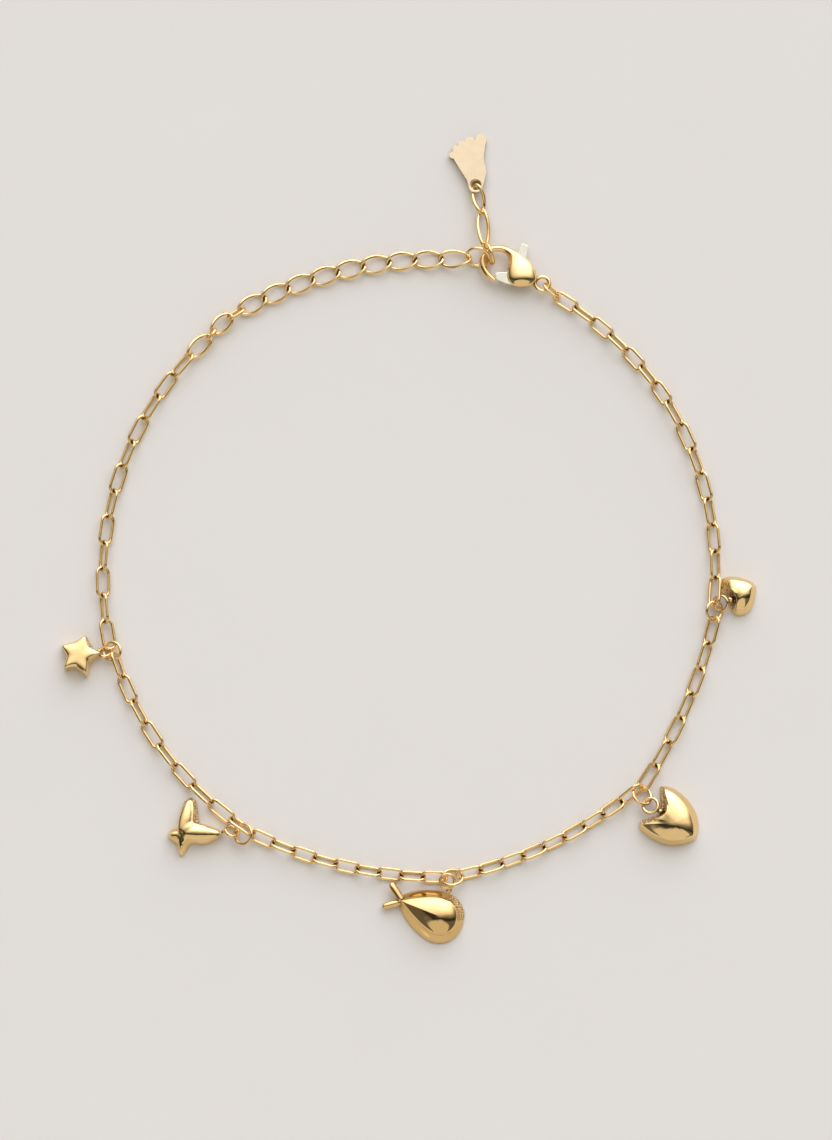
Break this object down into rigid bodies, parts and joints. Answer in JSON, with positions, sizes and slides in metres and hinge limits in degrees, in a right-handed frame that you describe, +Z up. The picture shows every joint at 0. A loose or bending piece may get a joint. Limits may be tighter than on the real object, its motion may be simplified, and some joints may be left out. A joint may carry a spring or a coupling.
{
  "type": "charm anklet",
  "caption": "Charm anklet of elongated cable chain with puffed charms, a twisted oval extender, a lobster clasp and a foot-shaped tag, lying flat in a loop.",
  "frame": {"origin": "middle of the ankle loop, on the surface that the anklet lies on", "axes": "+Y from the middle of the loop towards the clasp and the foot tag, +Z up out of the surface"},
  "size_m": [0.093, 0.1084, 0.0035],
  "materials": {
    "polished_gold": "polished pale yellow gold plating",
    "satin_gold": "satin pale yellow gold plating"
  },
  "bodies": {
    "anklet": {"butterfly_charm": "polished_gold", "butterfly_jump_ring": "polished_gold", "chain_heart_to_small_heart": "polished_gold", "chain_left": "polished_gold", "chain_small_heart_to_clasp": "polished_gold", "chain_star_to_whale": "polished_gold", "chain_whale_to_heart": "polished_gold", "clasp_body": "polished_gold", "clasp_link": "polished_gold", "extender_ovals": "polished_gold", "first_connector": "polished_gold", "first_oval": "polished_gold", "foot_tag": "satin_gold", "heart_charm": "polished_gold", "heart_jump_ring": "polished_gold", "hooked_ring": "polished_gold", "second_connector": "polished_gold", "second_oval": "polished_gold", "small_heart_charm": "polished_gold", "small_heart_jump_ring": "polished_gold", "star_charm": "polished_gold", "star_jump_ring": "polished_gold", "tail_link_lower": "polished_gold", "tail_link_upper": "polished_gold", "tail_ring": "polished_gold", "whale_charm": "polished_gold", "whale_jump_ring": "polished_gold"},
    "clasp_lever": {"clasp_lever": "polished_gold"}
  },
  "joints": [
    {"name": "clasp_lever_pivot", "type": "hinge", "parent": "anklet", "child": "clasp_lever", "pos_m": [0.0151, 0.03939, 0.0013], "axis": [0, 0, -1], "range_deg": [0, 25], "stiffness_Nm_per_rad": 0.003, "springref_deg": -11.46}
  ]
}
